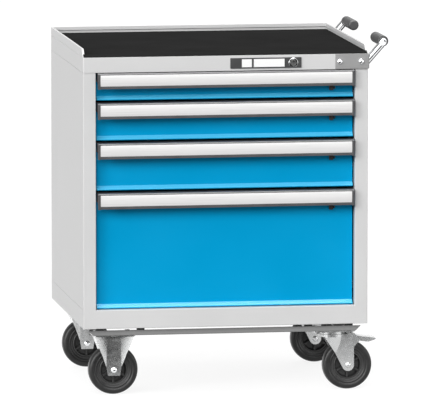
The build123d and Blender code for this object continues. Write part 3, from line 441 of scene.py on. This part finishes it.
# ---- light strips of the pulls: a shallow crown along the whole pull -------------------------------
STRIP_STEPS = 16
STRIP_CROWN = 1.45 * MM
STRIP_EDGE = 0.35 * MM
STRIP_LEAN = 0.9 * MM  # the strip's top edge sits back by this much
for number in DRAWERS:
    low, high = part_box(f"handle_strip_{number}")
    front, back = low.y, high.y
    section = [(back, high.z)]
    for step in range(STRIP_STEPS + 1):
        share = step / STRIP_STEPS
        lean = front + STRIP_CROWN + STRIP_LEAN * (1 - share)
        bulge = STRIP_CROWN * (1 - (2 * share - 1) ** 2)
        rounding = STRIP_EDGE * (abs(2 * share - 1) ** 12)
        section.append((lean - bulge + rounding, high.z + (low.z - high.z) * share))
    section.append((back, low.z))
    bm = bmesh.new()
    ends = [[bm.verts.new((x, y, z)) for y, z in section] for x in (low.x, high.x)]
    for index in range(len(section)):
        after = (index + 1) % len(section)
        bm.faces.new((ends[0][index], ends[0][after], ends[1][after], ends[1][index]))
    bm.faces.new(ends[0])
    bm.faces.new(list(reversed(ends[1])))
    strip_node = f"handle_strip_{number}"
    piece(f"{strip_node}.crowned", bm, BODY_OF[strip_node], "handle_insert", (strip_node,), 30.0)

# ---- wheels --------------------------------------------------------------------------------------
TYRE_PROFILE = (
    (-15.0, 40.0), (-15.4, 41.5), (-16.6, 43.0), (-17.3, 44.2), (-17.0, 45.6), (-16.2, 46.6), (-16.4, 47.6),
    (-17.6, 48.6), (-18.3, 50.4), (-18.5, 52.6), (-18.3, 54.8), (-17.6, 57.0), (-16.2, 58.9), (-14.2, 60.4),
    (-11.4, 61.4), (-8.0, 61.9), (-4.0, 62.0), (0.0, 62.0), (4.0, 62.0), (8.0, 61.9), (11.4, 61.4),
    (14.2, 60.4), (16.2, 58.9), (17.6, 57.0), (18.3, 54.8), (18.5, 52.6), (18.3, 50.4), (17.6, 48.6),
    (16.4, 47.6), (16.2, 46.6), (17.0, 45.6), (17.3, 44.2), (16.6, 43.0), (15.4, 41.5), (15.0, 40.0),
    (-15.0, 40.0),
)
RIM_PROFILE = (
    (-15.0, 40.0), (-15.3, 38.6), (-14.6, 37.2), (-13.2, 36.6), (-12.8, 35.6), (-13.8, 34.4), (-13.9, 32.6),
    (-12.6, 31.2), (-5.0, 30.0), (-2.0, 29.4), (-2.0, 14.6), (-6.0, 13.8), (-18.6, 13.2), (-19.8, 12.6),
    (-20.5, 11.2), (-20.5, 5.1), (20.5, 5.1), (20.5, 11.2), (19.8, 12.6), (18.6, 13.2), (6.0, 13.8),
    (2.0, 14.6), (2.0, 29.4), (5.0, 30.0), (12.6, 31.2), (13.9, 32.6), (13.8, 34.4), (12.8, 35.6),
    (13.2, 36.6), (14.6, 37.2), (15.3, 38.6), (15.0, 40.0), (-15.0, 40.0),
)
SPOKES = 6
FIRST_SPOKE = 30  # degrees from level
SPOKE_OUTLINE = ((12.5, -2.6), (22.0, -1.9), (31.5, -2.9), (31.5, 2.9), (22.0, 1.9), (12.5, 2.6))
SPOKE_DEPTH = 23.0
SPOKE_CHAMFER = 0.8
for wheel in WHEELS:
    hub = middle(f"tyre_{wheel}")
    bm = bmesh.new()
    lathe(bm, TYRE_PROFILE, hub, FORWARD, 128)
    piece(f"tyre_{wheel}.moulded", bm, f"wheel_{wheel}", "tyre_rubber", (f"tyre_{wheel}",), 50.0)
    bm = bmesh.new()
    lathe(bm, RIM_PROFILE, hub, FORWARD, 96)
    for index in range(SPOKES):
        turn = math.radians(FIRST_SPOKE + 360 / SPOKES * index)
        out = RIGHT * math.cos(turn) + UP * math.sin(turn)
        sideways = out.cross(FORWARD)
        spoke_back = hub - FORWARD * (SPOKE_DEPTH / 2) * MM
        prism(bm, SPOKE_OUTLINE, spoke_back, out, sideways, FORWARD, SPOKE_DEPTH, SPOKE_CHAMFER)
    piece(f"rim_{wheel}.moulded", bm, f"wheel_{wheel}", "rim_plastic", (f"rim_{wheel}",), 40.0)

# ---- grips of the push handle ----------------------------------------------------------------------
rolled("grips", 0.4, 2)

# ---- camera, floor and light -----------------------------------------------------------------------
CAMERA_PLACE = (-2.790, -17.762, 2.604)
YAW = math.radians(8.92)
PITCH = math.radians(6.87)
SENSOR_WIDTH = 36.0  # mm, as the lens
LENS = 590.5
VIEW_END = 60.0
camera_data = bpy.data.cameras.new("camera")
camera_data.sensor_width = SENSOR_WIDTH
camera_data.lens = LENS
camera_data.clip_end = VIEW_END
camera = bpy.data.objects.new("camera", camera_data)
bpy.context.scene.collection.objects.link(camera)
camera.location = CAMERA_PLACE
camera.rotation_euler = (math.pi / 2 - PITCH, 0.0, -YAW)
bpy.context.scene.camera = camera

FLOOR_HALF = 40.0
FLOOR_GLOW = 0.86  # keeps the floor as pale as the background
bm = bmesh.new()
bmesh.ops.create_grid(bm, x_segments=1, y_segments=1, size=FLOOR_HALF)
floor_mesh = bpy.data.meshes.new("floor")
bm.to_mesh(floor_mesh)
bm.free()
floor = bpy.data.objects.new("floor", floor_mesh)
bpy.context.scene.collection.objects.link(floor)
floor_finish = Finish("floor_look", 0.9, specular=0.1)
floor_cloud = floor_finish.span(floor_finish.noise(1.5, 1.0), 0, 1)
floor_finish.colours(floor_cloud, (0.15, 0.15, 0.15), (0.16, 0.16, 0.16))
floor_finish.shader.inputs["Emission Color"].default_value = (1, 1, 1, 1)
floor_finish.shader.inputs["Emission Strength"].default_value = FLOOR_GLOW
floor.data.materials.append(floor_finish.material)
floor.visible_diffuse = False


def sun(name, direction, strength, spread):
    """Wide distant light that shines along a direction."""
    data = bpy.data.lights.new(name, "SUN")
    data.energy = strength
    data.angle = math.radians(spread)
    obj = bpy.data.objects.new(name, data)
    bpy.context.scene.collection.objects.link(obj)
    obj.rotation_euler = Vector(direction).to_track_quat("-Z", "Y").to_euler()
    return obj


sun("side_key", (0.76, 0.53, -0.38), 1.55, 26)
sun("front_key", (0.3, 0.8, -0.45), 1.75, 34)
sun("top_key", (0.1, 0.15, -1.0), 0.9, 40)
sun("back_fill", (-0.5, -0.8, -0.5), 0.9, 60)

WORLD_STRENGTH = 0.35
world = bpy.data.worlds.new("studio")
bpy.context.scene.world = world
world.use_nodes = True
background = world.node_tree.nodes["Background"]
background.inputs["Color"].default_value = (1, 1, 1, 1)
background.inputs["Strength"].default_value = WORLD_STRENGTH


def reflected_card(name, corners, glow=0.0):
    """Studio card that only shows in reflections: black, or bright if it glows."""
    bm = bmesh.new()
    bm.faces.new([bm.verts.new(corner) for corner in corners])
    mesh = bpy.data.meshes.new(name)
    bm.to_mesh(mesh)
    bm.free()
    obj = bpy.data.objects.new(name, mesh)
    bpy.context.scene.collection.objects.link(obj)
    card_finish = Finish(name + "_look", 1.0, specular=0.0)
    card_finish.colours(card_finish.span(card_finish.noise(0.5), 0, 1), (0.004,) * 3, (0.007,) * 3)
    card_finish.shader.inputs["Emission Color"].default_value = (1, 1, 1, 1)
    card_finish.shader.inputs["Emission Strength"].default_value = glow
    mesh.materials.append(card_finish.material)
    obj.visible_camera = False
    obj.visible_diffuse = False
    obj.visible_shadow = False
    obj.visible_transmission = False
    return obj


def flat_corners(x0, x1, y0, y1, z):
    return ((x0, y0, z), (x1, y0, z), (x1, y1, z), (x0, y1, z))


def wall_corners(x, y0, y1, z1):
    return ((x, y0, 0.0), (x, y1, 0.0), (x, y1, z1), (x, y0, z1))


JUST_OVER_FLOOR = 0.003
CEILING = 4.0
LEANING_SCREEN = ((-3.5, -6.0, 1.6), (3.5, -6.0, 1.6), (3.5, -3.0, 6.5), (-3.5, -3.0, 6.5))
reflected_card("dark_floor_left", flat_corners(-0.6, 0.1, -1.85, -0.5, JUST_OVER_FLOOR))
reflected_card("dark_floor_middle", flat_corners(0.1, 0.8, -1.85, -0.9, JUST_OVER_FLOOR))
reflected_card("dark_floor_far", flat_corners(-1.2, 2.4, -12.0, -1.9, JUST_OVER_FLOOR))
reflected_card("dark_floor_right", flat_corners(0.75, 2.4, -0.35, 2.6, JUST_OVER_FLOOR))
reflected_card("bright_overhead", flat_corners(-1.6, 1.6, -2.2, 1.6, CEILING), 12.0)
reflected_card("bright_front", LEANING_SCREEN, 3.0)
reflected_card("bright_left", wall_corners(-5.0, -6.0, 0.5, 3.0), 5.0)
reflected_card("bright_right", wall_corners(5.0, -6.0, -0.5, 3.0), 3.0)

view = bpy.context.scene.view_settings
view.view_transform = "Standard"
view.look = "None"
view.exposure = 0.0
view.gamma = 1.0
